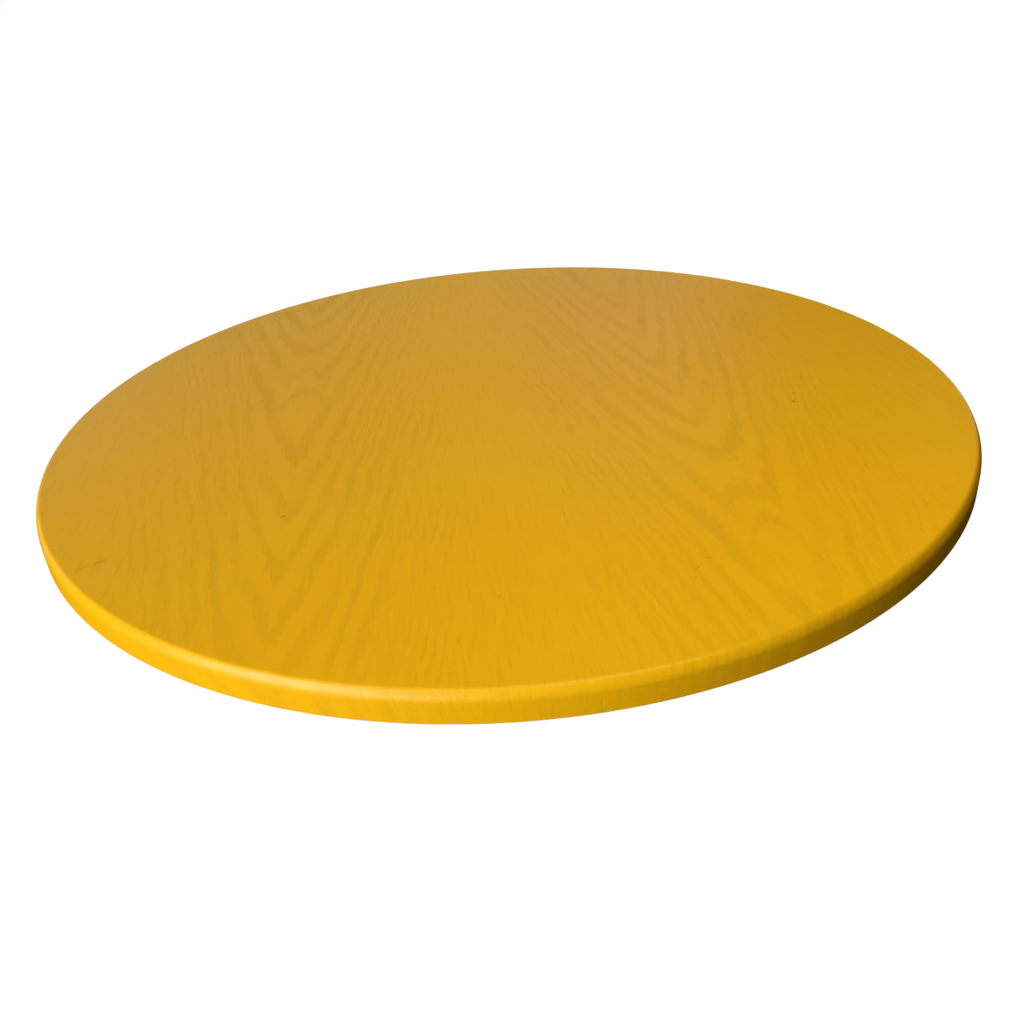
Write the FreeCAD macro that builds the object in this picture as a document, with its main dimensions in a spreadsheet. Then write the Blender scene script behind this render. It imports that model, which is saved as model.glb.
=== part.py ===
import FreeCAD, Part
import math
import os
import Sketcher
from FreeCAD import Vector

# Round table top: one wood-fibre board with a rounded upper edge, wrapped over the
# top and the edge in one decor film, balanced underneath by a thin sheet, with four
# screw-in insert nuts for the base plate. Millimetres, +Z up. The origin is the
# centre of the underside, and the decor's grain runs along Y.

doc = FreeCAD.newDocument("round_table_top")

# ---------------------------------------------------------------- driving sizes
SIZES = [
    ("top_dia", 800.0, "diameter over the film"),
    ("total_thick", 24.0, "underside to top face"),
    ("film_thick", 0.5, "decor film"),
    ("backing_thick", 0.3, "balancing sheet"),
    ("crown_radius", 4.0, "tight arc of the shoulder, next to the top face, on the film"),
    ("side_radius", 12.0, "slow arc of the shoulder, down to the wall, on the film"),
    ("shoulder_in", 5.6, "where the shoulder starts, inside the wall"),
    ("shoulder_down", 8.8, "where the shoulder ends, below the top face"),
    ("blend_in", 2.4, "where the two arcs meet, inside the wall"),
    ("blend_down", 1.6, "where the two arcs meet, below the top face"),
    ("film_trim", 0.4, "height of the film's cut edge above the underside"),
    ("film_bevel", 0.3, "rise of the cut edge towards the outside"),
    ("insert_spacing", 280.0, "side of the square of inserts"),
    ("seat_dia", 13.4, "flat-bottomed seat for the insert's flange"),
    ("seat_depth", 1.2, "depth of that seat from the underside"),
    ("pilot_dia", 10.3, "hole for the insert's body"),
    ("pilot_depth", 15.0, "depth of that hole from the underside"),
    ("flange_dia", 12.6, "insert flange"),
    ("flange_thick", 1.0, "insert flange"),
    ("flange_recess", 0.2, "flange face above the underside"),
    ("insert_length", 13.0, "insert, flange included"),
    ("root_dia", 8.0, "insert body between its outer ridges"),
    ("crest_dia", 10.0, "over the outer ridges"),
    ("ridge_pitch", 2.5, "outer ridges"),
    ("ridge_width", 1.4, "each ridge at its root"),
    ("crest_width", 0.3, "each ridge at its crest"),
    ("bore_dia", 5.0, "minor diameter of an M6 thread"),
    ("hex_flats", 6.2, "hexagon drive socket across flats"),
    ("hex_depth", 4.0, "hexagon drive socket"),
]
sheet = doc.addObject("Spreadsheet::Sheet", "Sizes")
for row, (alias, value, note) in enumerate(SIZES, start=1):
    sheet.set("A%d" % row, alias)
    sheet.set("B%d" % row, str(value))
    sheet.set("C%d" % row, note)
    sheet.setAlias("B%d" % row, alias)
doc.recompute()


# ---------------------------------------------------------------- helpers
def plane_of(body, role):
    for feature in body.Origin.OriginFeatures:
        if feature.Role == role:
            return feature
    raise RuntimeError("no " + role)


def new_body(label):
    body = doc.addObject("PartDesign::Body", label)
    body.Label = label
    body.AllowCompound = True
    return body


def new_sketch(body, name, role):
    sketch = body.newObject("Sketcher::SketchObject", name)
    sketch.AttachmentSupport = [(plane_of(body, role), "")]
    sketch.MapMode = "FlatFace"
    return sketch


def amount(expression):
    """The number that a sheet expression stands for, to start the sketch near its solved shape."""
    names = {alias: value for alias, value, _ in SIZES}
    total, sign, word = 0.0, 1.0, ""
    for token in expression.replace("Sizes.", "").replace("(", "").replace(")", "").split():
        if token in "+-":
            sign = 1.0 if token == "+" else -1.0
            continue
        value = 1.0
        over = token.split("/")
        for k, factor in enumerate(over[0].split("*")):
            value *= names[factor] if factor in names else float(factor)
        for factor in over[1:]:
            value /= float(factor)
        total += sign * value
        sign = 1.0
    return total


def place_point(sketch, geo, end, ex, ey):
    """Pins one sketch point at (ex, ey), each an expression on the sheet or the word axis for zero."""
    for kind, axis, expression in (("DistanceX", -2, ex), ("DistanceY", -1, ey)):
        if expression == "axis":
            sketch.addConstraint(Sketcher.Constraint("PointOnObject", geo, end, axis))
            continue
        index = sketch.addConstraint(
            Sketcher.Constraint(kind, -1, 1, geo, end, amount(expression))
        )
        sketch.setExpression("Constraints[%d]" % index, expression)


def closed_profile(sketch, corners, arcs=None):
    """A closed outline through corners. arcs maps the number of a side to (radius expression, centre x, centre y)."""
    arcs = arcs or {}
    points = [
        Vector(0.0 if ex == "axis" else amount(ex), 0.0 if ey == "axis" else amount(ey), 0)
        for ex, ey in corners
    ]
    count = len(points)
    ends = []
    for k in range(count):
        start, stop = points[k], points[(k + 1) % count]
        if k in arcs:
            radius, cx, cy = arcs[k]
            centre = Vector(amount(cx), amount(cy), 0)
            first = start - centre
            last = stop - centre
            a0, a1 = math.atan2(first.y, first.x), math.atan2(last.y, last.x)
            circle = Part.Circle(centre, Vector(0, 0, 1), first.Length)
            if (a1 - a0) % (2 * math.pi) <= math.pi:
                sketch.addGeometry(Part.ArcOfCircle(circle, a0, a1), False)
                ends.append((1, 2))
            else:
                sketch.addGeometry(Part.ArcOfCircle(circle, a1, a0), False)
                ends.append((2, 1))
        else:
            sketch.addGeometry(Part.LineSegment(start, stop), False)
            ends.append((1, 2))
    for k in range(count):
        after = (k + 1) % count
        sketch.addConstraint(
            Sketcher.Constraint("Coincident", k, ends[k][1], after, ends[after][0])
        )
    for k, (ex, ey) in enumerate(corners):
        place_point(sketch, k, ends[k][0], ex, ey)
    for k, (radius, cx, cy) in arcs.items():
        index = sketch.addConstraint(Sketcher.Constraint("Radius", k, amount(radius)))
        sketch.setExpression("Constraints[%d]" % index, radius)


def circle_at(sketch, dia, ex, ey):
    """A circle whose centre is at the sheet expressions ex, ey, or at the sketch origin for the word axis."""
    x = 0.0 if ex == "axis" else amount(ex)
    y = 0.0 if ey == "axis" else amount(ey)
    k = sketch.addGeometry(
        Part.Circle(Vector(x, y, 0), Vector(0, 0, 1), amount(dia) / 2.0), False
    )
    if ex == "axis" and ey == "axis":
        sketch.addConstraint(Sketcher.Constraint("Coincident", k, 3, -1, 1))
    else:
        place_point(sketch, k, 3, ex, ey)
    index = sketch.addConstraint(Sketcher.Constraint("Diameter", k, amount(dia)))
    sketch.setExpression("Constraints[%d]" % index, dia)
    return k


def revolve(body, sketch, name):
    feature = body.newObject("PartDesign::Revolution", name)
    feature.Profile = sketch
    feature.ReferenceAxis = (sketch, ["V_Axis"])
    feature.Angle = 360.0
    return feature


def four_round(body, name, originals):
    """Repeats features four times round the body's Z axis."""
    pattern = body.newObject("PartDesign::PolarPattern", name)
    pattern.Originals = originals
    pattern.Axis = (plane_of(body, "Z_Axis"), [""])
    pattern.Angle = 360.0
    pattern.Occurrences = 4
    body.Tip = pattern
    return pattern


def pocket_up(body, sketch, name, depth):
    """Cuts upwards from a sketch on the underside plane, and checks that it did cut."""
    doc.recompute()
    before = body.Shape.Volume
    feature = body.newObject("PartDesign::Pocket", name)
    feature.Profile = sketch
    feature.Length = amount(depth)
    feature.setExpression("Length", depth)
    feature.Reversed = True
    doc.recompute()
    if body.Shape.Volume >= before - 1e-3:
        feature.Reversed = False
        doc.recompute()
    if body.Shape.Volume >= before - 1e-3:
        raise RuntimeError(name + " cuts nothing")
    return feature


# ---------------------------------------------------------------- core board
# A plain round board. The film's and the balancing sheet's thicknesses come off its
# outside. Its shoulder is two arcs that meet where their normal is 0.8 out and 0.6 up,
# so each arc has the film's radius less the film.
core = new_body("core_board")
outline = new_sketch(core, "core_outline", "XZ_Plane")
closed_profile(
    outline,
    [
        ("axis", "Sizes.backing_thick"),
        ("Sizes.top_dia/2 - Sizes.film_thick", "Sizes.backing_thick"),
        ("Sizes.top_dia/2 - Sizes.film_thick", "Sizes.total_thick - Sizes.shoulder_down"),
        (
            "Sizes.top_dia/2 - Sizes.blend_in - 0.8*Sizes.film_thick",
            "Sizes.total_thick - Sizes.blend_down - 0.6*Sizes.film_thick",
        ),
        ("Sizes.top_dia/2 - Sizes.shoulder_in", "Sizes.total_thick - Sizes.film_thick"),
        ("axis", "Sizes.total_thick - Sizes.film_thick"),
    ],
    {
        2: (
            "Sizes.side_radius - Sizes.film_thick",
            "Sizes.top_dia/2 - Sizes.side_radius",
            "Sizes.total_thick - Sizes.shoulder_down",
        ),
        3: (
            "Sizes.crown_radius - Sizes.film_thick",
            "Sizes.top_dia/2 - Sizes.shoulder_in",
            "Sizes.total_thick - Sizes.crown_radius",
        ),
    },
)
revolve(core, outline, "core_disc")
doc.recompute()

pilot = new_sketch(core, "pilot_circle", "XY_Plane")
circle_at(pilot, "Sizes.pilot_dia", "Sizes.insert_spacing/2", "Sizes.insert_spacing/2")
pilot_cut = pocket_up(core, pilot, "pilot_hole", "Sizes.pilot_depth")
seat = new_sketch(core, "seat_circle", "XY_Plane")
circle_at(seat, "Sizes.seat_dia", "Sizes.insert_spacing/2", "Sizes.insert_spacing/2")
seat_cut = pocket_up(core, seat, "flange_seat", "Sizes.seat_depth")
one_hole = core.Shape.Volume
four_round(core, "insert_holes", [pilot_cut, seat_cut])
doc.recompute()
if core.Shape.Volume >= one_hole - 1e-3:
    raise RuntimeError("the holes were not repeated")

# ---------------------------------------------------------------- decor film
# One film, drawn over the top, the rounded edge and the wall. Its cut edge stays
# just above the underside and slopes up towards the outside.
film = new_body("decor_film")
skin = new_sketch(film, "film_section", "XZ_Plane")
closed_profile(
    skin,
    [
        ("Sizes.top_dia/2 - Sizes.film_thick", "Sizes.film_trim"),
        ("Sizes.top_dia/2", "Sizes.film_trim + Sizes.film_bevel"),
        ("Sizes.top_dia/2", "Sizes.total_thick - Sizes.shoulder_down"),
        ("Sizes.top_dia/2 - Sizes.blend_in", "Sizes.total_thick - Sizes.blend_down"),
        ("Sizes.top_dia/2 - Sizes.shoulder_in", "Sizes.total_thick"),
        ("axis", "Sizes.total_thick"),
        ("axis", "Sizes.total_thick - Sizes.film_thick"),
        ("Sizes.top_dia/2 - Sizes.shoulder_in", "Sizes.total_thick - Sizes.film_thick"),
        (
            "Sizes.top_dia/2 - Sizes.blend_in - 0.8*Sizes.film_thick",
            "Sizes.total_thick - Sizes.blend_down - 0.6*Sizes.film_thick",
        ),
        ("Sizes.top_dia/2 - Sizes.film_thick", "Sizes.total_thick - Sizes.shoulder_down"),
    ],
    {
        2: (
            "Sizes.side_radius",
            "Sizes.top_dia/2 - Sizes.side_radius",
            "Sizes.total_thick - Sizes.shoulder_down",
        ),
        3: (
            "Sizes.crown_radius",
            "Sizes.top_dia/2 - Sizes.shoulder_in",
            "Sizes.total_thick - Sizes.crown_radius",
        ),
        7: (
            "Sizes.crown_radius - Sizes.film_thick",
            "Sizes.top_dia/2 - Sizes.shoulder_in",
            "Sizes.total_thick - Sizes.crown_radius",
        ),
        8: (
            "Sizes.side_radius - Sizes.film_thick",
            "Sizes.top_dia/2 - Sizes.side_radius",
            "Sizes.total_thick - Sizes.shoulder_down",
        ),
    },
)
revolve(film, skin, "film_cap")

# ---------------------------------------------------------------- balancing sheet
backing = new_body("backing_sheet")
disc = new_sketch(backing, "backing_circle", "XY_Plane")
circle_at(disc, "Sizes.top_dia - 2*Sizes.film_thick", "axis", "axis")
backing_pad = backing.newObject("PartDesign::Pad", "backing_disc")
backing_pad.Profile = disc
backing_pad.Length = amount("Sizes.backing_thick")
backing_pad.setExpression("Length", "Sizes.backing_thick")
doc.recompute()
opening = new_sketch(backing, "opening_circle", "XY_Plane")
circle_at(opening, "Sizes.seat_dia", "Sizes.insert_spacing/2", "Sizes.insert_spacing/2")
opening_cut = pocket_up(backing, opening, "insert_opening", "Sizes.backing_thick*2")
one_opening = backing.Shape.Volume
four_round(backing, "insert_openings", [opening_cut])
doc.recompute()
if backing.Shape.Volume >= one_opening - 1e-3:
    raise RuntimeError("the openings were not repeated")

# ---------------------------------------------------------------- insert nuts
# Four equal flanged inserts. The outer screw thread is drawn as separate ridges, and
# the inner M6 thread as its minor diameter.
inserts = new_body("threaded_inserts")
turned = new_sketch(inserts, "insert_section", "XZ_Plane")
turned.AttachmentOffset = FreeCAD.Placement(
    Vector(amount("Sizes.insert_spacing/2"), 0, -amount("Sizes.insert_spacing/2")),
    FreeCAD.Rotation(),
)
turned.setExpression(".AttachmentOffset.Base.x", "Sizes.insert_spacing/2")
turned.setExpression(".AttachmentOffset.Base.z", "-Sizes.insert_spacing/2")
flange_top = "Sizes.flange_recess + Sizes.flange_thick"
section = [
    ("Sizes.bore_dia/2", "Sizes.flange_recess"),
    ("Sizes.flange_dia/2 - 0.3", "Sizes.flange_recess"),
    ("Sizes.flange_dia/2", "Sizes.flange_recess + 0.3"),
    ("Sizes.flange_dia/2", flange_top),
    ("Sizes.root_dia/2", flange_top),
]
for n in range(4):
    low = flange_top + " + 0.6 + %d*Sizes.ridge_pitch" % n
    section += [
        ("Sizes.root_dia/2", low),
        ("Sizes.crest_dia/2", low + " + Sizes.ridge_width/2 - Sizes.crest_width/2"),
        ("Sizes.crest_dia/2", low + " + Sizes.ridge_width/2 + Sizes.crest_width/2"),
        ("Sizes.root_dia/2", low + " + Sizes.ridge_width"),
    ]
section += [
    ("Sizes.root_dia/2", "Sizes.flange_recess + Sizes.insert_length - 0.8"),
    ("Sizes.root_dia/2 - 0.8", "Sizes.flange_recess + Sizes.insert_length"),
    ("Sizes.bore_dia/2", "Sizes.flange_recess + Sizes.insert_length"),
]
closed_profile(turned, section)
turning = revolve(inserts, turned, "insert_turning")
doc.recompute()

socket = new_sketch(inserts, "socket_hexagon", "XY_Plane")
half = amount("Sizes.hex_flats") / math.sqrt(3.0)
middle = amount("Sizes.insert_spacing/2")
hexagon = [
    Vector(
        middle + half * math.cos(math.radians(60 * k)),
        middle + half * math.sin(math.radians(60 * k)),
        0,
    )
    for k in range(6)
]
for k in range(6):
    socket.addGeometry(Part.LineSegment(hexagon[k], hexagon[(k + 1) % 6]), False)
for k in range(6):
    socket.addConstraint(Sketcher.Constraint("Coincident", k, 2, (k + 1) % 6, 1))
round_it = socket.addGeometry(
    Part.Circle(Vector(middle, middle, 0), Vector(0, 0, 1), half), True
)
place_point(socket, round_it, 3, "Sizes.insert_spacing/2", "Sizes.insert_spacing/2")
index = socket.addConstraint(Sketcher.Constraint("Radius", round_it, half))
socket.setExpression("Constraints[%d]" % index, "Sizes.hex_flats / sqrt(3)")
for k in range(6):
    socket.addConstraint(Sketcher.Constraint("PointOnObject", k, 1, round_it))
for k in range(5):
    socket.addConstraint(Sketcher.Constraint("Equal", k, k + 1))
socket.addConstraint(Sketcher.Constraint("Horizontal", 1))
doc.recompute()
socket_cut = pocket_up(
    inserts, socket, "drive_socket", "Sizes.flange_recess + Sizes.hex_depth"
)
inserts_pattern = inserts.newObject("PartDesign::PolarPattern", "four_inserts")
inserts_pattern.Originals = [turning, socket_cut]
inserts_pattern.Axis = (plane_of(inserts, "Z_Axis"), [""])
inserts_pattern.Angle = 360.0
inserts_pattern.Occurrences = 4
inserts.Tip = inserts_pattern
doc.recompute()

# ---------------------------------------------------------------- checks and files
NODES = [core, film, backing, inserts]
SOLIDS = {"core_board": 1, "decor_film": 1, "backing_sheet": 1, "threaded_inserts": 4}
for thing in doc.Objects:
    if "Invalid" in thing.State or "Error" in thing.State:
        raise RuntimeError("%s failed: %s" % (thing.Name, thing.State))
for node in NODES:
    shape = node.Shape
    if shape.isNull() or not shape.isValid():
        raise RuntimeError(node.Label + " has no valid shape")
    if len(shape.Solids) != SOLIDS[node.Label]:
        raise RuntimeError("%s has %d solids" % (node.Label, len(shape.Solids)))
    box = shape.optimalBoundingBox(False, False)
    print(
        "%-17s %d solid(s)  %.1f cm3  x %.2f..%.2f  y %.2f..%.2f  z %.2f..%.2f"
        % (
            node.Label, len(shape.Solids), shape.Volume / 1000.0,
            box.XMin, box.XMax, box.YMin, box.YMax, box.ZMin, box.ZMax,
        )
    )
for a in range(len(NODES)):
    for b in range(a + 1, len(NODES)):
        both = NODES[a].Shape.common(NODES[b].Shape).Volume
        if both > 1e-3:
            raise RuntimeError(
                "%s and %s overlap by %.4f mm3" % (NODES[a].Label, NODES[b].Label, both)
            )

os.makedirs("parts", exist_ok=True)
for node in NODES:
    node.Shape.exportStep(os.path.join("parts", node.Label + ".step"))
print("wrote", len(NODES), "files")
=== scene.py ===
import math

import bpy
import numpy as np
from mathutils import Matrix, Vector
from mathutils.geometry import delaunay_2d_cdt


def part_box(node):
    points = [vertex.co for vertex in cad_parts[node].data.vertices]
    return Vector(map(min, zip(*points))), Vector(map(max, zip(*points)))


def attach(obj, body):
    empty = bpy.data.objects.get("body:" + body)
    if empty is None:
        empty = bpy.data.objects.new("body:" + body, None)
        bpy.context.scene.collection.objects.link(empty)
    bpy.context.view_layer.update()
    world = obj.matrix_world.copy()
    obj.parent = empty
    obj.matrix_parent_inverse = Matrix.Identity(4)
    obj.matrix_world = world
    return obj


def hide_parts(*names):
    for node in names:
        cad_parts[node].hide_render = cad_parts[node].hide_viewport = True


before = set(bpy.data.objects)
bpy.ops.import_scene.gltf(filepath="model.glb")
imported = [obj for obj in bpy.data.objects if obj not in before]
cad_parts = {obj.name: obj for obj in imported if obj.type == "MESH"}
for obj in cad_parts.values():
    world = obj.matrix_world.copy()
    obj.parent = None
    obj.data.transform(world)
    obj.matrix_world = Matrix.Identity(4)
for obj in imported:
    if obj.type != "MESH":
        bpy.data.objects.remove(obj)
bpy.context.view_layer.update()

# Round table top: one film-wrapped wood-fibre board. Metres, +Z up, the origin is the
# centre of the underside, and the decor's grain runs along Y.
MM = 0.001
film_lo, film_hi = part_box("decor_film")
sheet_lo, sheet_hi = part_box("backing_sheet")
nuts_lo, nuts_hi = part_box("threaded_inserts")
RIM = 0.400                 # radius over the film
TOP = film_hi.z             # top face, 24 mm
CROWN, SIDE = 4.0 * MM, 12.0 * MM   # the shoulder's tight upper arc and its slow lower arc
IN, DOWN = 5.6 * MM, 8.8 * MM       # the shoulder's width and height
FILM = 0.5 * MM             # film thickness
TRIM = film_lo.z            # cut edge of the film above the underside
BOARD = RIM - FILM          # radius of the board
SHEET = sheet_hi.z          # balancing sheet thickness
SEAT = 6.7 * MM             # clearance round the insert flanges
HALF = 140.0 * MM           # half of the inserts' square
SEG = 720


# ---------------------------------------------------------------- mesh helpers
def new_object(name, verts, faces, smooth=True, attributes=None):
    mesh = bpy.data.meshes.new(name)
    mesh.from_pydata([tuple(v) for v in verts], [], [tuple(f) for f in faces])
    mesh.validate()
    mesh.update()
    if smooth:
        mesh.polygons.foreach_set("use_smooth", [True] * len(mesh.polygons))
        mesh.set_sharp_from_angle(angle=math.radians(32))
    for key, (kind, field, values) in (attributes or {}).items():
        layer = mesh.attributes.new(key, kind, "POINT")
        layer.data.foreach_set(field, np.asarray(values, np.float32).ravel())
    piece = bpy.data.objects.new(name, mesh)
    bpy.context.scene.collection.objects.link(piece)
    return piece


def circle(radius, count, centre=(0.0, 0.0), phase=0.0):
    t = phase + 2 * math.pi * np.arange(count) / count
    return np.stack([centre[0] + radius * np.cos(t), centre[1] + radius * np.sin(t)], 1)


def plate(outer, spacing, holes=(), gap=0.6):
    """Points and triangles that fill a round plate, with round holes. The ring points come first, in order."""
    rings = [outer] + list(holes)
    points = [tuple(p) for ring in rings for p in ring]
    edges, start = [], 0
    for ring in rings:
        n = len(ring)
        edges += [(start + k, start + (k + 1) % n) for k in range(n)]
        start += n
    reach = float(np.hypot(outer[0][0], outer[0][1]))
    rows = int(reach / (spacing * 0.866)) + 1
    for j in range(-rows, rows + 1):
        y = j * spacing * 0.866
        for i in range(-rows, rows + 1):
            x = (i + 0.5 * (j % 2)) * spacing
            if x * x + y * y > (reach - gap * spacing) ** 2:
                continue
            if any(
                np.hypot(x - np.mean(h[:, 0]), y - np.mean(h[:, 1]))
                < np.hypot(*(h[0] - h.mean(0))) + gap * 0.5 * spacing
                for h in holes
            ):
                continue
            points.append((x, y))
    made = delaunay_2d_cdt([Vector(p) for p in points], edges, [], 0, 1e-7)
    xy = np.array([[v.x, v.y] for v in made[0]])
    back = {}
    for new, olds in enumerate(made[3]):
        for old in olds:
            back[old] = new
    order = [back[k] for k in range(len(points))]
    rank = {v: k for k, v in enumerate(order)}
    tris = []
    for f in made[2]:
        c = xy[list(f)].mean(0)
        if any(
            np.hypot(*(c - h.mean(0))) < np.hypot(*(h[0] - h.mean(0))) * 0.999
            and min(rank[v] for v in f) >= len(outer)
            for h in holes
        ):
            continue
        a, b, c3 = (xy[v] for v in f)
        turn = (b[0] - a[0]) * (c3[1] - a[1]) - (b[1] - a[1]) * (c3[0] - a[0])
        tri = [rank[v] for v in f]
        tris.append(tri if turn > 0 else tri[::-1])
    return np.array(points), tris


class Builder:
    """Collects vertices and faces, ring by ring."""

    def __init__(self):
        self.v, self.f = [], []

    def add(self, points):
        first = len(self.v)
        self.v.extend([tuple(map(float, p)) for p in points])
        return list(range(first, first + len(points)))

    def ring(self, radius, z, count=SEG, centre=(0.0, 0.0)):
        xy = circle(radius, count, centre)
        return self.add([(x, y, z) for x, y in xy])

    def strip(self, a, b, flip=False):
        n = len(a)
        for k in range(n):
            q = (a[k], a[(k + 1) % n], b[(k + 1) % n], b[k])
            self.f.append(q[::-1] if flip else q)

    def cap(self, ring_ids, z, spacing, up, holes=()):
        """Fills inside ring ids (and round hole ids) at height z, sharing the rings' vertices."""
        outer = np.array([self.v[i][:2] for i in ring_ids])
        inner = [np.array([self.v[i][:2] for i in h]) for h in holes]
        points, tris = plate(outer, spacing, inner)
        ids = list(ring_ids)
        for h in holes:
            ids += list(h)
        extra = self.add([(x, y, z) for x, y in points[len(ids):]])
        ids += extra
        for t in tris:
            t = [ids[k] for k in t]
            self.f.append(t if up else t[::-1])
        return extra


# ---------------------------------------------------------------- the decor's figure
# Two columns of cathedral figure in a half-drop repeat. Each line of a column is a V:
# its tip along the grain, then its drop per millimetre on the left and on the right,
# close to the column's axis and further out. Millimetres; w runs along -Y.
LINES = [
    (-290, 3.43, 5.6, 3.2, 6.0),
    (-236, 2.0, 5.75, 1.7, 6.0),
    (-162, 2.07, 5.85, 1.6, 5.8),
    (-37, 3.77, 3.9, 3.83, 4.4),
    (90, 4.33, 4.0, 4.2, 4.9),
    (178, 3.43, 6.2, 4.2, 5.4),
    (260, 3.97, 5.65, 4.07, 5.8),
]
PERIOD = 614.0
FIRST = -183.0
ACROSS, ALONG = 338.0, 326.0
ARCHES = [(-165, 2.0), (-140, 2.5), (-108, 3.0), (-91, 3.45), (-72, 4.0), (-58, 4.35), (-50, 4.5), (0, 4.5)]


def ease(a, b, x):
    t = np.clip((x - a) / (b - a), 0.0, 1.0)
    return t * t * (3 - 2 * t)


def knee(x, soft=5.0):
    return 0.5 * (x + np.sqrt(x * x + soft * soft))


def drop(p, line):
    q = np.sqrt(p * p + 16) - 4
    near = np.where(p > 0, line[3], line[1])
    far = np.where(p > 0, line[4], line[2])
    return (
        near * q
        + (far - near) * (knee(q - 30) - knee(-30.0))
        + (5.3 - far) * (knee(q - 72) - knee(-72.0))
    )


def column(p, w):
    """Growth-line number at p across and w along one column."""
    tips, number = [], []
    for n in (-1, 0, 1, 2):
        for i, line in enumerate(LINES):
            tips.append(line[0] + n * PERIOD - drop(p, line))
            number.append(i + 7 * n)
    tips = np.array(tips)
    step = np.arange(len(number)).reshape((-1,) + (1,) * np.ndim(p)) * 1e-3
    tips = np.maximum.accumulate(tips + step, axis=0)
    lines = np.full(np.shape(w), float(number[0]))
    for j in range(len(number) - 1):
        share = np.clip((w - tips[j]) / (tips[j + 1] - tips[j] + 1e-6), 0, 1)
        lines = np.where(w >= tips[j], number[j] + share, lines)
    turn = np.floor((w + 330) / PERIOD)
    local = w - turn * PERIOD
    bow = 0.045 + 0.065 * ease(-112, -74, local)
    bow = bow * np.where(p > 0, 0.8, 1.0)
    arch = np.interp(local - bow * p * p, [a for a, _ in ARCHES], [b for _, b in ARCHES]) + 7 * turn
    share = (1 - ease(14, 22, np.abs(p))) * ease(-176, -160, local) * (1 - ease(-40, -30, local))
    inside = (1 - ease(10, 15, np.abs(p))) * ease(-52, -44, local) * (1 - ease(-30, 10, local))
    lines = lines * (1 - share) + arch * share
    return np.where(inside > 0, lines * (1 - inside) + (3.45 + 7 * turn) * inside, lines)


def figure(x, y):
    """Growth-line number and strength of the figure at film coordinates in metres."""
    u, w = x * 1000.0, -y * 1000.0
    best = None
    for i in (-1, 0, 1, 2):
        p = u - (FIRST + ACROSS * i)
        local = w - ALONG * i
        a = 2 * math.pi * local / PERIOD
        p = p + 1.0 * np.sin(2 * a + 0.7) + 0.8 * np.sin(5 * a + 2.1) + 0.5 * np.sin(9 * a + 4.0)
        local = local + 3 * np.sin(p / 13.0 + 3 * a) + 2 * np.sin(p / 6.1 - 7 * a + 1.0)
        lines = column(p, local)
        which = np.floor(lines + 0.3) % 7
        strength = np.exp(-((np.abs(p) / 92.0) ** 4)) * (0.85 + 0.2 * np.sin(2.4 * which + 0.8 + 2 * np.sign(p)))
        flank = ease(28, 58, np.abs(p)) * (1 - ease(105, 150, np.abs(p)))
        place = local - np.floor((local + 330) / PERIOD) * PERIOD
        hush = (1 - ease(13, 18, np.abs(p))) * ease(-60, -54, place) * (1 - ease(-14, 8, place))
        strength = strength * (1 - hush)
        if best is None:
            best = [np.abs(p), lines, strength, flank]
        else:
            closer = np.abs(p) < best[0]
            best = [np.where(closer, new, old) for new, old in zip((np.abs(p), lines, strength, flank), best)]
    return best[1], best[2], best[3]


# ---------------------------------------------------------------- shoulder
TURN_AT = math.asin(0.8)    # tilt of the surface where the two arcs meet


def shoulder(upper, lower, inset=0.0):
    """(radius, height, length over the film) down the shoulder. inset is how far under the film's face it lies."""
    path = []
    for k in range(upper + 1):
        t = TURN_AT * k / upper
        r = CROWN - inset
        path.append((RIM - IN + r * math.sin(t), TOP - CROWN + r * math.cos(t), CROWN * t))
    for k in range(1, lower + 1):
        t = TURN_AT + (0.5 * math.pi - TURN_AT) * k / lower
        r = SIDE - inset
        path.append((RIM - SIDE + r * math.sin(t), TOP - DOWN + r * math.cos(t), CROWN * TURN_AT + SIDE * (t - TURN_AT)))
    return path


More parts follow.
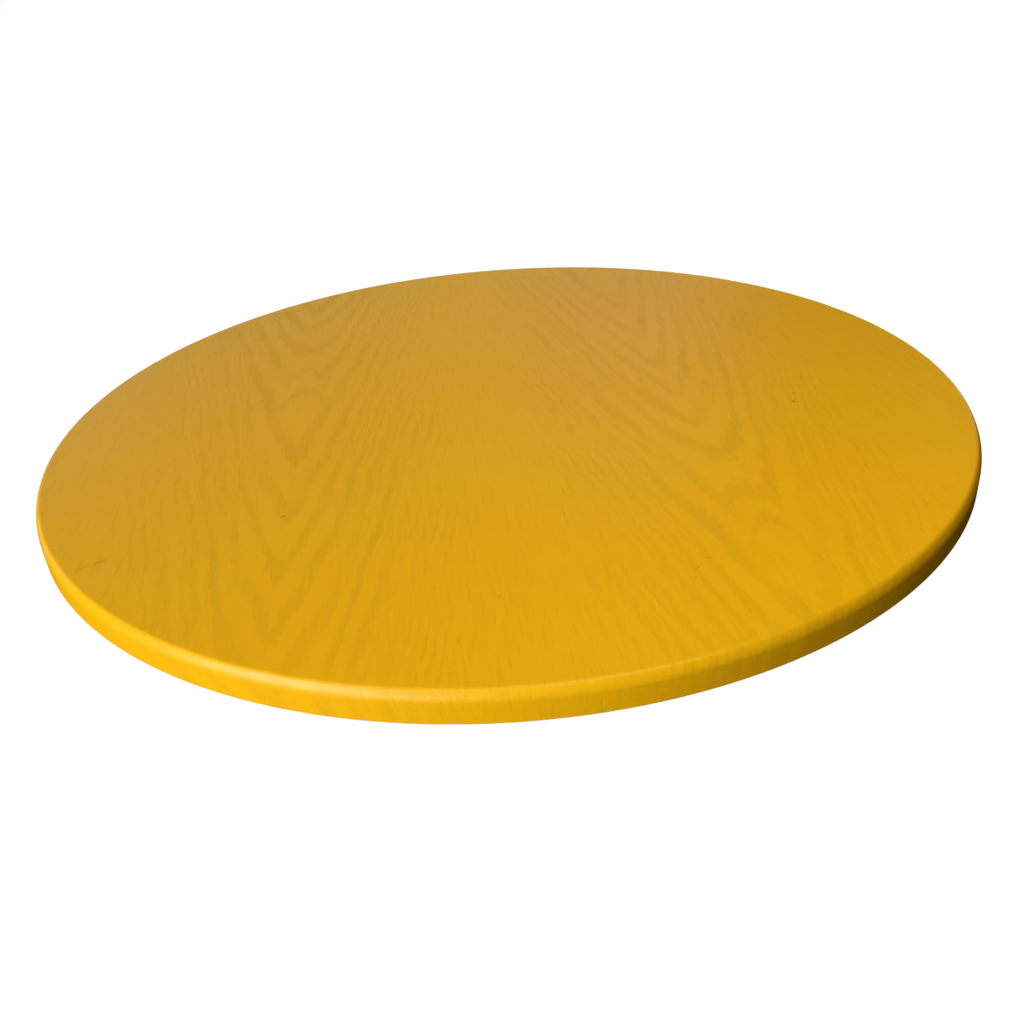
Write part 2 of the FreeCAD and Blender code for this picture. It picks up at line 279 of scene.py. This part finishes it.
# ---------------------------------------------------------------- decor film
def film_piece():
    b = Builder()
    reach = {}      # vertex -> film coordinate radius beyond the flat top

    def lathe(radius, z, along):
        ids = b.ring(radius, z)
        for i in ids:
            reach[i] = along
        return ids

    flat = RIM - IN
    outer = [lathe(flat - 3.5 * MM, TOP, flat - 3.5 * MM), lathe(flat - 0.4 * MM, TOP, flat - 0.4 * MM)]
    for radius, z, along in shoulder(18, 16):
        outer.append(lathe(radius, z, flat + along))
    corner = flat + CROWN * TURN_AT + SIDE * (0.5 * math.pi - TURN_AT)
    wall_top = TOP - DOWN
    for z in (wall_top - 0.5 * MM, 12.0 * MM, 8.0 * MM, 4.0 * MM, 1.2 * MM, TRIM + 0.36 * MM):
        outer.append(lathe(RIM, z, corner + wall_top - z))
    low = corner + wall_top - TRIM
    outer.append(lathe(RIM - 0.02 * MM, TRIM + 0.30 * MM, low - 0.3 * MM))
    outer.append(lathe(BOARD + 0.03 * MM, TRIM + 0.01 * MM, low))
    outer.append(lathe(BOARD, TRIM + 0.02 * MM, low))
    inner = [lathe(BOARD, 0.006, low)]
    for radius, z, along in reversed(shoulder(6, 6, FILM)):
        inner.append(lathe(radius, z, flat + along))
    rings = outer + inner
    for a, c in zip(rings[:-1], rings[1:]):
        b.strip(a, c, flip=True)
    b.cap(rings[0], TOP, 4.5 * MM, True)
    b.cap(rings[-1], TOP - FILM, 26 * MM, False)

    v = np.array(b.v)
    radius = np.hypot(v[:, 0], v[:, 1])
    spread = radius.copy()
    for i, along in reach.items():
        spread[i] = along
    scale = spread / np.maximum(radius, 1e-9)
    film = np.stack([v[:, 0] * scale, v[:, 1] * scale, np.zeros(len(v))], 1)
    lines, strength, flank = figure(film[:, 0], film[:, 1])
    return new_object(
        "decor_film_wrap",
        b.v,
        b.f,
        attributes={
            "film": ("FLOAT_VECTOR", "vector", film),
            "ring": ("FLOAT", "value", lines),
            "figure": ("FLOAT", "value", strength),
            "flank": ("FLOAT", "value", flank),
        },
    )


# ---------------------------------------------------------------- fibre board
CENTRES = [(sx * HALF, sy * HALF) for sx in (-1, 1) for sy in (-1, 1)]


def board_piece():
    b = Builder()
    top, low = TOP - FILM, SHEET
    rings = [b.ring(radius, z) for radius, z, _ in shoulder(6, 6, FILM)]
    rings += [b.ring(BOARD, z) for z in (0.010, 0.002, low + 0.05 * MM)] + [b.ring(BOARD - 0.05 * MM, low)]
    for a, c in zip(rings[:-1], rings[1:]):
        b.strip(a, c, flip=True)
    b.cap(rings[0], top, 26 * MM, True)
    mouths = []
    for c in CENTRES:
        stack = [
            b.ring(SEAT, low, 48, c), b.ring(SEAT, 1.2 * MM, 48, c), b.ring(5.15 * MM, 1.2 * MM, 48, c),
            b.ring(5.15 * MM, 6 * MM, 48, c), b.ring(5.15 * MM, 14.6 * MM, 48, c), b.ring(4.7 * MM, 15 * MM, 48, c),
        ]
        for a, d in zip(stack[:-1], stack[1:]):
            b.strip(a, d, flip=True)
        end = b.add([(c[0], c[1], 15 * MM)])[0]
        last = stack[-1]
        for k in range(48):
            b.f.append((last[(k + 1) % 48], last[k], end))
        mouths.append(stack[0])
    b.cap(rings[-1], low, 14 * MM, False, mouths)
    return new_object("core_board_mdf", b.v, b.f)


# ---------------------------------------------------------------- balancing sheet
def sheet_piece():
    b = Builder()
    upper = [b.ring(BOARD, SHEET)]
    lower = [b.ring(BOARD, 0.05 * MM), b.ring(BOARD - 0.08 * MM, 0.0)]
    b.strip(upper[0], lower[0], flip=True)
    b.strip(lower[0], lower[1], flip=True)
    tops, bottoms = [], []
    for c in CENTRES:
        a, m, d = b.ring(SEAT, SHEET, 48, c), b.ring(SEAT, 0.06 * MM, 48, c), b.ring(SEAT + 0.07 * MM, 0.0, 48, c)
        b.strip(a, m)
        b.strip(m, d)
        tops.append(a)
        bottoms.append(d)
    b.cap(upper[0], SHEET, 14 * MM, True, tops)
    b.cap(lower[1], 0.0, 14 * MM, False, bottoms)
    return new_object("backing_sheet_paper", b.v, b.f)


# ---------------------------------------------------------------- screw-in insert nuts
AROUND = 60


def nut_rings(turn):
    """Rings of one insert, each AROUND points of (radius, height), on a loop that closes on itself."""
    t = 2 * math.pi * np.arange(AROUND) / AROUND
    ones = np.ones(AROUND)
    flat = 3.1 * MM
    hexagon = flat / np.cos(((t + turn + math.pi / 6) % (math.pi / 3)) - math.pi / 6)
    low, high = nuts_lo.z, nuts_hi.z
    made = []

    def ring(radius, z):
        made.append((radius * ones, z * ones))

    ring(6.05 * MM, low)
    ring(6.22 * MM, low + 0.06 * MM)
    ring(6.3 * MM, low + 0.22 * MM)
    ring(6.3 * MM, low + 0.85 * MM)
    ring(6.2 * MM, low + 1.0 * MM)
    ring(4.25 * MM, low + 1.0 * MM)
    ring(4.0 * MM, low + 1.2 * MM)
    bottom, end = low + 1.3 * MM, high - 0.7 * MM
    for z in np.arange(bottom, end, 0.125 * MM):
        phase = ((z / (2.5 * MM) - t / (2 * math.pi)) % 1.0 - 0.5) * 2.5 * MM
        ridge = np.clip((0.7 * MM - np.abs(phase)) / (0.55 * MM), 0, 1)
        run = min(1.0, (z - bottom) / (0.9 * MM)) * min(1.0, (end - z) / (2.2 * MM))
        made.append((4.0 * MM + 1.0 * MM * ridge * run, z * ones))
    ring(4.0 * MM, end)
    ring(3.75 * MM, high - 0.15 * MM)
    ring(3.6 * MM, high)
    ring(3.05 * MM, high)
    ring(2.95 * MM, high - 0.08 * MM)
    for z in np.arange(high - 0.2 * MM, low + 4.35 * MM, -0.1 * MM):
        phase = abs_phase = np.abs(((z / MM + t / (2 * math.pi)) % 1.0) - 0.5)
        groove = np.clip(1 - abs_phase / 0.44, 0, 1)
        run = min(1.0, (z - low - 4.3 * MM) / (0.8 * MM))
        mouth = max(0.0, 1 - (high - 0.1 * MM - z) / (0.5 * MM))
        made.append((2.5 * MM + 0.45 * MM * np.maximum(groove * run, mouth), z * ones))
    ring(2.5 * MM, low + 4.3 * MM)
    ring(2.52 * MM, low + 4.05 * MM)
    made.append((np.minimum(hexagon, 3.25 * MM) * 0.96, (low + 4.0 * MM) * ones))
    made.append((hexagon * 0.995, (low + 3.95 * MM) * ones))
    made.append((hexagon, (low + 3.8 * MM) * ones))
    made.append((hexagon, (low + 0.55 * MM) * ones))
    made.append((np.maximum(hexagon, 3.62 * MM), (low + 0.12 * MM) * ones))
    made.append((np.maximum(hexagon, 3.74 * MM), low * ones))
    ring(4.9 * MM, low)
    return t, made


def nuts_piece():
    verts, faces = [], []
    for n, (cx, cy) in enumerate(CENTRES):
        t, made = nut_rings(0.4 + 1.3 * n)
        start = len(verts)
        lean = 0.9 * n
        for radius, z in made:
            verts += [(cx + r * math.cos(a + lean), cy + r * math.sin(a + lean), h) for r, a, h in zip(radius, t, z)]
        m = len(made)
        for j in range(m):
            for k in range(AROUND):
                a = start + j * AROUND + k
                c = start + j * AROUND + (k + 1) % AROUND
                d = start + ((j + 1) % m) * AROUND + (k + 1) % AROUND
                e = start + ((j + 1) % m) * AROUND + k
                faces.append((a, c, d, e))
    return new_object("threaded_inserts_m6", verts, faces)


# ---------------------------------------------------------------- materials
class Nodes:
    """Short names for the nodes of one material."""

    def __init__(self, name):
        self.material = bpy.data.materials.new(name)
        self.material.use_nodes = True
        self.tree = self.material.node_tree
        self.shader = self.tree.nodes["Principled BSDF"]

    def node(self, kind, **settings):
        made = self.tree.nodes.new(kind)
        for key, value in settings.items():
            setattr(made, key, value)
        return made

    def put(self, socket, value):
        if isinstance(value, bpy.types.NodeSocket):
            self.tree.links.new(value, socket)
        else:
            socket.default_value = value

    def attribute(self, name, output):
        return self.node("ShaderNodeAttribute", attribute_name=name).outputs[output]

    def stretch(self, vector, scale, shift=(0.0, 0.0, 0.0), turn=0.0):
        made = self.node("ShaderNodeMapping", vector_type="POINT")
        self.put(made.inputs["Vector"], vector)
        made.inputs["Scale"].default_value = scale
        made.inputs["Location"].default_value = shift
        made.inputs["Rotation"].default_value = (0.0, 0.0, turn)
        return made.outputs[0]

    def noise(self, vector, scale=1.0, detail=2.0, rough=0.5, warp=0.0, dims="3D"):
        made = self.node("ShaderNodeTexNoise", noise_dimensions=dims)
        self.put(made.inputs["Vector"], vector)
        made.inputs["Scale"].default_value = scale
        made.inputs["Detail"].default_value = detail
        made.inputs["Roughness"].default_value = rough
        made.inputs["Distortion"].default_value = warp
        return made.outputs["Fac"]

    def math(self, operation, a, b=0.0, c=None, clamp=False):
        made = self.node("ShaderNodeMath", operation=operation, use_clamp=clamp)
        self.put(made.inputs[0], a)
        self.put(made.inputs[1], b)
        if c is not None:
            self.put(made.inputs[2], c)
        return made.outputs[0]

    def range(self, value, a, b, c=0.0, d=1.0, smooth=True):
        made = self.node("ShaderNodeMapRange", interpolation_type="SMOOTHSTEP" if smooth else "LINEAR")
        self.put(made.inputs["Value"], value)
        for key, x in (("From Min", a), ("From Max", b), ("To Min", c), ("To Max", d)):
            self.put(made.inputs[key], x)
        return made.outputs["Result"]

    def mix(self, share, a, b, blend="MIX"):
        made = self.node("ShaderNodeMix", data_type="RGBA", blend_type=blend)
        self.put(made.inputs["Factor"], share)
        for name, value in (("A", a), ("B", b)):
            socket = [s for s in made.inputs if s.name == name and s.type == "RGBA"][0]
            self.put(socket, value)
        return [s for s in made.outputs if s.type == "RGBA"][0]

    def bump(self, height, distance, strength=1.0, normal=None):
        made = self.node("ShaderNodeBump")
        made.inputs["Strength"].default_value = strength
        made.inputs["Distance"].default_value = distance
        self.put(made.inputs["Height"], height)
        if normal is not None:
            self.put(made.inputs["Normal"], normal)
        return made.outputs["Normal"]

    def spot(self, place, centre, radius, soft=0.5, long=1.0, turn=0.0):
        """1 inside a small mark on the film, 0 outside. long stretches it along its turned axis."""
        shift = self.node("ShaderNodeVectorMath", operation="SUBTRACT")
        self.put(shift.inputs[0], place)
        shift.inputs[1].default_value = (centre[0], centre[1], 0.0)
        spun = self.node("ShaderNodeVectorRotate", rotation_type="Z_AXIS")
        self.put(spun.inputs["Vector"], shift.outputs[0])
        spun.inputs["Angle"].default_value = -turn
        thin = self.node("ShaderNodeVectorMath", operation="MULTIPLY")
        self.put(thin.inputs[0], spun.outputs[0])
        thin.inputs[1].default_value = (1.0 / long, 1.0, 0.0)
        size = self.node("ShaderNodeVectorMath", operation="LENGTH")
        self.put(size.inputs[0], thin.outputs[0])
        return self.range(size.outputs["Value"], radius, radius * (1 + soft), 1.0, 0.0)

    def sum(self, first, *more):
        for m in more:
            first = self.math("MAXIMUM", first, m)
        return first


def decor_material():
    n = Nodes("yellow_wood_decor")
    place = n.attribute("film", "Vector")
    ring = n.attribute("ring", "Fac")
    strength = n.attribute("figure", "Fac")
    flank = n.attribute("flank", "Fac")

    # growth lines of the figure, a little uneven
    sway = n.noise(n.stretch(place, (60.0, 26.0, 1.0), (3.1, 7.7, 0.0)), 1.0, 2.0)
    shake = n.noise(n.stretch(place, (260.0, 60.0, 1.0), (1.7, 2.9, 0.0)), 1.0, 2.0)
    lines = n.math("MULTIPLY_ADD", n.math("SUBTRACT", sway, 0.5), 0.40, ring)
    lines = n.math("MULTIPLY_ADD", n.math("SUBTRACT", shake, 0.5), 0.46, lines)
    part = n.math("FRACT", n.math("SUBTRACT", lines, 0.15))
    band = n.math("MULTIPLY", n.range(part, 0.34, 0.62), n.range(part, 0.82, 0.97, 1.0, 0.0))
    patch = n.noise(n.stretch(place, (30.0, 11.0, 1.0), (9.0, 4.0, 0.0)), 1.0, 1.0)
    band = n.math("MULTIPLY", band, n.range(patch, 0.28, 0.72, 0.35, 1.3, smooth=False))
    band = n.math("MULTIPLY", band, strength)
    twice = n.math("FRACT", n.math("MULTIPLY_ADD", lines, 2.0, 0.22))
    thin = n.math("MULTIPLY", n.range(twice, 0.42, 0.66), n.range(twice, 0.78, 0.96, 1.0, 0.0))
    thin = n.math("MULTIPLY", thin, n.math("MULTIPLY", flank, n.range(patch, 0.3, 0.7, 0.7, 0.1, smooth=False)))
    band = n.math("MAXIMUM", band, thin)

    # open pores: short strokes along the grain, thick in the dark lines
    fine = n.noise(n.stretch(place, (640.0, 30.0, 1.0), (5.0, 1.0, 0.0)), 1.0, 2.0, 0.55)
    wide = n.noise(n.stretch(place, (300.0, 22.0, 1.0), (2.0, 8.0, 0.0)), 1.0, 2.0, 0.6)
    pores = n.range(fine, 0.56, 0.72)
    veins = n.range(wide, 0.48, 0.68)
    crowd = n.math("MULTIPLY_ADD", band, 0.55, 0.45)
    pores = n.math("MULTIPLY", pores, crowd)
    calm = n.math("SUBTRACT", 1.0, n.math("MULTIPLY", strength, 0.55))
    veins = n.math("MULTIPLY", veins, calm)

    # print tone
    blotch = n.noise(n.stretch(place, (9.0, 4.0, 1.0)), 1.0, 3.0, 0.55)
    cloud = n.noise(n.stretch(place, (70.0, 28.0, 1.0), (4.0, 4.0, 0.0)), 1.0, 3.0, 0.6)
    speck = n.noise(place, 900.0, 2.0, 0.6)
    tone = n.math("MULTIPLY_ADD", n.math("SUBTRACT", blotch, 0.5), 0.10, 0.5)
    tone = n.math("MULTIPLY_ADD", n.math("SUBTRACT", cloud, 0.5), 0.09, tone)
    tone = n.math("MULTIPLY_ADD", n.math("SUBTRACT", speck, 0.5), 0.05, tone)
    tone = n.math("ADD", tone, 0.025)
    tone = n.math("SUBTRACT", tone, n.math("MULTIPLY", band, 0.16))
    tone = n.math("SUBTRACT", tone, n.math("MULTIPLY", pores, 0.095))
    tone = n.math("SUBTRACT", tone, n.math("MULTIPLY", veins, 0.078), clamp=True)
    shade = n.node("ShaderNodeValToRGB")
    n.put(shade.inputs["Fac"], tone)
    stops = shade.color_ramp.elements
    stops[0].position, stops[0].color = 0.0, (0.590, 0.286, 0.0016, 1)
    stops[1].position, stops[1].color = 1.0, (0.965, 0.512, 0.0035, 1)
    middle = stops.new(0.5)
    middle.color = (0.800, 0.413, 0.0025, 1)
    colour = shade.outputs["Color"]

    # small marks of use: pits, nicks, one scratch, specks
    upright = 0.5 * math.pi
    pits = n.sum(
        n.spot(place, (-0.185, -0.167), 0.0009, 0.6, 1.9, 0.2),
        n.spot(place, (0.246, -0.070), 0.0009, 0.7, 2.2, upright),
    )
    faint = n.sum(
        n.spot(place, (0.105, -0.290), 0.0009, 0.8, 1.6),
        n.spot(place, (0.096, -0.300), 0.0004, 1.0, 11.0, 0.85),
        n.spot(place, (-0.3225, -0.2065), 0.0006, 1.0, 7.0, 0.45),
        n.spot(place, (-0.121, -0.044), 0.0005, 0.8, 5.0, upright),
        n.spot(place, (0.021, -0.211), 0.0005, 0.8, 4.0, upright),
        n.spot(place, (-0.037, -0.305), 0.0006, 0.8, 2.0, upright),
    )
    scratch = n.spot(place, (-0.3120, -0.2015), 0.0008, 0.8, 4.0, 0.55)
    fleck = n.sum(
        n.spot(place, (0.347, -0.038), 0.0009, 0.7, 2.4, 1.3),
        n.spot(place, (0.2485, -0.0625), 0.0007, 0.7, 2.0, 1.2),
        n.spot(place, (0.179, -0.305), 0.0005, 0.7, 2.0, 1.0),
    )
    smudge = n.spot(place, (0.269, 0.149), 0.005, 1.4, 1.3, 1.2)
    colour = n.mix(n.math("MULTIPLY", smudge, 0.18), colour, (0.50, 0.24, 0.004, 1))
    colour = n.mix(n.math("MULTIPLY", faint, 0.26), colour, (0.33, 0.14, 0.004, 1))
    colour = n.mix(n.math("MULTIPLY", scratch, 0.48), colour, (0.33, 0.14, 0.004, 1))
    colour = n.mix(n.math("MULTIPLY", pits, 0.5), colour, (0.20, 0.08, 0.006, 1))
    colour = n.mix(n.math("MULTIPLY", fleck, 0.32), colour, (0.92, 0.70, 0.22, 1))
    n.put(n.shader.inputs["Base Color"], colour)

    # sheen: the pores and rubbed patches are duller
    rubbed = n.noise(n.stretch(place, (6.0, 5.0, 1.0), (2.0, 5.0, 0.0)), 1.0, 3.0, 0.6)
    rough = n.math("MULTIPLY_ADD", n.math("SUBTRACT", rubbed, 0.5), 0.10, ROUGH)
    rough = n.math("MULTIPLY_ADD", pores, 0.14, rough)
    rough = n.math("MULTIPLY_ADD", band, 0.04, rough)
    rough = n.math("MULTIPLY_ADD", scratch, 0.2, rough, clamp=True)
    n.put(n.shader.inputs["Roughness"], rough)
    n.shader.inputs["IOR"].default_value = 1.5

    # relief: pressed-in pores and growth lines, a fine moulded skin
    skin = n.noise(place, 420.0, 3.0, 0.55)
    height = n.math("MULTIPLY", pores, -1.0)
    height = n.math("MULTIPLY_ADD", veins, -0.55, height)
    height = n.math("MULTIPLY_ADD", band, -0.25, height)
    height = n.math("MULTIPLY_ADD", skin, 0.35, height)
    height = n.math("MULTIPLY_ADD", pits, -3.0, height)
    height = n.math("MULTIPLY_ADD", scratch, -1.5, height)
    # the film is stretched over the shoulder and shows the relief more there
    reach = n.node("ShaderNodeVectorMath", operation="LENGTH")
    n.put(reach.inputs[0], place)
    over = n.math(
        "MULTIPLY",
        n.range(reach.outputs["Value"], 0.3935, 0.3975),
        n.range(reach.outputs["Value"], 0.4030, 0.4090, 1.0, 0.3),
    )
    lumps = n.noise(n.stretch(place, (215.0, 125.0, 1.0), (6.0, 3.0, 0.0)), 1.0, 1.0, 0.45)
    lumps = n.math("SUBTRACT", lumps, 0.5)
    height = n.math("MULTIPLY_ADD", n.math("MULTIPLY", over, lumps), 6.5, height)
    height = n.math("MULTIPLY_ADD", n.math("MULTIPLY", over, pores), -0.4, height)
    n.put(n.shader.inputs["Normal"], n.bump(height, 0.00006, 0.8))
    return n.material


def board_material():
    n = Nodes("fibre_board")
    place = n.node("ShaderNodeTexCoord").outputs["Object"]
    fibre = n.noise(n.stretch(place, (900.0, 900.0, 2600.0)), 1.0, 4.0, 0.65)
    clump = n.noise(place, 160.0, 3.0, 0.6)
    fleck = n.noise(n.stretch(place, (1500.0, 500.0, 2200.0), (3.0, 1.0, 2.0)), 1.0, 2.0)
    tone = n.math("MULTIPLY_ADD", n.math("SUBTRACT", clump, 0.5), 0.6, fibre, clamp=True)
    colour = n.mix(n.range(tone, 0.25, 0.8), (0.26, 0.155, 0.080, 1), (0.47, 0.325, 0.190, 1))
    colour = n.mix(n.math("MULTIPLY", n.range(fleck, 0.66, 0.76), 0.6), colour, (0.11, 0.06, 0.03, 1))
    n.put(n.shader.inputs["Base Color"], colour)
    n.put(n.shader.inputs["Roughness"], n.range(fibre, 0.2, 0.8, 0.78, 0.95))
    n.put(n.shader.inputs["Normal"], n.bump(fibre, 0.00012, 0.9))
    return n.material


def paper_material():
    n = Nodes("white_backing")
    place = n.node("ShaderNodeTexCoord").outputs["Object"]
    web = n.noise(n.stretch(place, (700.0, 480.0, 600.0)), 1.0, 4.0, 0.6)
    cloud = n.noise(place, 14.0, 4.0, 0.6)
    dust = n.noise(place, 55.0, 5.0, 0.7, 0.4)
    rub = n.noise(n.stretch(place, (30.0, 260.0, 40.0), (2.0, 0.0, 0.0), 0.6), 1.0, 3.0, 0.6)
    colour = n.mix(n.range(cloud, 0.3, 0.7), (0.735, 0.725, 0.690, 1), (0.800, 0.795, 0.765, 1))
    colour = n.mix(n.math("MULTIPLY", n.range(web, 0.45, 0.75), 0.25), colour, (0.66, 0.645, 0.60, 1))
    colour = n.mix(n.math("MULTIPLY", n.range(dust, 0.58, 0.74), 0.35), colour, (0.52, 0.47, 0.39, 1))
    colour = n.mix(n.math("MULTIPLY", n.range(rub, 0.64, 0.72), 0.30), colour, (0.48, 0.45, 0.41, 1))
    n.put(n.shader.inputs["Base Color"], colour)
    n.put(n.shader.inputs["Roughness"], n.range(cloud, 0.3, 0.7, 0.50, 0.62))
    relief = n.math("MULTIPLY_ADD", rub, -0.4, web)
    n.put(n.shader.inputs["Normal"], n.bump(relief, 0.00004, 0.6))
    return n.material


def zinc_material():
    n = Nodes("plated_insert")
    place = n.node("ShaderNodeTexCoord").outputs["Object"]
    tarnish = n.noise(place, 260.0, 4.0, 0.65)
    fine = n.noise(place, 2600.0, 3.0, 0.6)
    tool = n.noise(n.stretch(place, (300.0, 300.0, 5200.0)), 1.0, 2.0)
    colour = n.mix(n.range(tarnish, 0.3, 0.7), (0.63, 0.645, 0.66, 1), (0.73, 0.70, 0.60, 1))
    colour = n.mix(n.math("MULTIPLY", n.range(tarnish, 0.60, 0.78), 0.5), colour, (0.42, 0.40, 0.37, 1))
    n.put(n.shader.inputs["Base Color"], colour)
    n.shader.inputs["Metallic"].default_value = 1.0
    rough = n.math("MULTIPLY_ADD", tarnish, 0.22, n.range(fine, 0.2, 0.8, 0.20, 0.32))
    n.put(n.shader.inputs["Roughness"], rough)
    n.put(n.shader.inputs["Normal"], n.bump(n.math("ADD", tool, n.math("MULTIPLY", fine, 0.5)), 0.00002, 0.6))
    return n.material


ROUGH = 0.34

# ---------------------------------------------------------------- pieces
for make, node, slot, material in (
    (film_piece, "decor_film", "yellow_wood_decor", decor_material),
    (board_piece, "core_board", "fibre_board", board_material),
    (sheet_piece, "backing_sheet", "white_backing", paper_material),
    (nuts_piece, "threaded_inserts", "plated_insert", zinc_material),
):
    piece = make()
    piece.data.materials.append(material())
    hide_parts(node)
    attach(piece, "root")


# ---------------------------------------------------------------- floor
def floor_material():
    n = Nodes("studio_floor")
    place = n.node("ShaderNodeTexCoord").outputs["Object"]
    soft = n.noise(place, 1.3, 3.0, 0.5)
    n.put(n.shader.inputs["Base Color"], n.mix(soft, (0.040, 0.040, 0.040, 1), (0.050, 0.050, 0.050, 1)))
    n.shader.inputs["Roughness"].default_value = 0.9
    n.shader.inputs["Specular IOR Level"].default_value = 0.0
    n.shader.inputs["Emission Color"].default_value = (1.0, 1.0, 1.0, 1)
    n.shader.inputs["Emission Strength"].default_value = 1.0
    return n.material


size = 15.0
floor = new_object(
    "studio_floor",
    [(-size, -size, -0.0002), (size, -size, -0.0002), (size, size, -0.0002), (-size, size, -0.0002)],
    [(0, 1, 2, 3)],
    smooth=False,
)
floor.data.materials.append(floor_material())
floor.visible_diffuse = False
floor.visible_glossy = False
floor.visible_shadow = False

# ---------------------------------------------------------------- light
scene = bpy.context.scene
scene.view_settings.view_transform = "Standard"
scene.view_settings.look = "None"
scene.view_settings.exposure = 0.0
scene.view_settings.gamma = 1.0


def lamp(name, place, size, watts, target=(0.0, 0.0, 0.0), tint=(1.0, 1.0, 1.0), gloss=True):
    light = bpy.data.lights.new(name, "AREA")
    light.shape = "DISK"
    light.size = size
    light.energy = watts
    light.color = tint
    made = bpy.data.objects.new(name, light)
    scene.collection.objects.link(made)
    made.rotation_mode = "QUATERNION"
    made.location = place
    made.rotation_quaternion = (Vector(place) - Vector(target)).to_track_quat("Z", "Y")
    made.visible_camera = False
    made.visible_glossy = gloss
    return made


def around(azimuth, elevation, distance):
    a, e = math.radians(azimuth), math.radians(elevation)
    flat = distance * math.cos(e)
    return (flat * math.cos(a), flat * math.sin(a), distance * math.sin(e) + 0.02)


WHITE, WARM = (1.0, 1.0, 1.0), (1.0, 0.80, 0.50)
# round softboxes 3 m off: azimuth, elevation, watts, tint, and whether the gloss sees them
for azimuth, elevation, watts, tint, gloss in (
    (-150, 32, 14.20, WHITE, True),
    (-150, 18, 5.60, WHITE, True),
    (-150, 4, 10.80, WHITE, True),
    (-135, 32, 10.40, WHITE, True),
    (-135, 18, 4.20, WHITE, True),
    (-135, 4, 9.90, WHITE, True),
    (-120, 4, 10.30, WHITE, True),
    (-150, 45, 4.46, WHITE, True),
    (45, 4, 3.76, WARM, True),
    (60, 4, 1.00, WARM, True),
    (150, 4, 2.15, WHITE, True),
    (120, 10, 1.90, WHITE, True),
    (105, 10, 1.38, (1.000, 0.833, 0.583), True),
    (90, 10, 1.18, WARM, True),
    (75, 10, 0.62, WHITE, True),
    (90, 20, 0.54, WARM, True),
    (105, 20, 0.24, WHITE, True),
    (75, 20, 31.60, WHITE, False),
    (-135, 4, 28.98, WHITE, False),
    (-150, 10, 12.48, WHITE, False),
    (30, 4, 10.39, WARM, False),
    (150, 4, 7.01, WHITE, False),
):
    name = "softbox_%d_%d%s" % (azimuth % 360, elevation, "" if gloss else "_soft")
    lamp(name, around(azimuth, elevation, 3.0), 0.9, watts, tint=tint, gloss=gloss)
# small fills hung over the top: x, y, watts, tint
for k, (x, y, watts, tint) in enumerate((
    (0.00, -0.70, 1.20, WHITE),
    (0.28, -0.56, 3.60, (1.000, 0.920, 0.800)),
    (0.35, 0.40, 1.18, WHITE),
    (0.00, -0.40, 0.71, WHITE),
)):
    lamp("fill_%d" % k, (x, y, 0.9), 0.5, watts, (x, y, 0.0), tint, False)

world = bpy.data.worlds.new("studio")
scene.world = world
world.use_nodes = True
tree = world.node_tree
ambient = tree.nodes["Background"]
ambient.inputs["Color"].default_value = (1.0, 0.86, 0.62, 1)
ambient.inputs["Strength"].default_value = 0.004
seen = tree.nodes.new("ShaderNodeBackground")
seen.inputs["Color"].default_value = (1.0, 1.0, 1.0, 1)
seen.inputs["Strength"].default_value = 1.0
path = tree.nodes.new("ShaderNodeLightPath")
blend = tree.nodes.new("ShaderNodeMixShader")
tree.links.new(path.outputs["Is Camera Ray"], blend.inputs[0])
tree.links.new(ambient.outputs[0], blend.inputs[1])
tree.links.new(seen.outputs[0], blend.inputs[2])
tree.links.new(blend.outputs[0], tree.nodes["World Output"].inputs["Surface"])

# ---------------------------------------------------------------- camera
# Distances in units of the top's radius, angles in radians, focal length in pixels of
# a 1024 px wide frame; the camera is turned about the top's centre last of all.
BACK, UP, PITCH, PAN, ROLL, FOCAL = 2.09534797, 0.935894331, 0.531222637, 0.00103054446, -0.0769563567, 1005.92822
TURN = math.radians(-4.7)
forward = Vector((math.sin(PAN) * math.cos(PITCH), math.cos(PAN) * math.cos(PITCH), -math.sin(PITCH)))
right = Vector((math.cos(PAN), -math.sin(PAN), 0.0))
upward = right.cross(forward)
right, upward = (
    math.cos(ROLL) * right + math.sin(ROLL) * upward,
    -math.sin(ROLL) * right + math.cos(ROLL) * upward,
)
spin = Matrix.Rotation(TURN, 3, "Z")
place = spin @ Vector((0.0, -BACK * RIM, UP * RIM + TOP))
forward, right, upward = spin @ forward, spin @ right, spin @ upward
data = bpy.data.cameras.new("photo_camera")
data.sensor_width = 36.0
data.lens = FOCAL / 1024.0 * 36.0
data.clip_end = 200.0
camera = bpy.data.objects.new("photo_camera", data)
scene.collection.objects.link(camera)
pose = Matrix((right, upward, -forward)).transposed().to_4x4()
pose.translation = place
camera.matrix_world = pose
scene.camera = camera
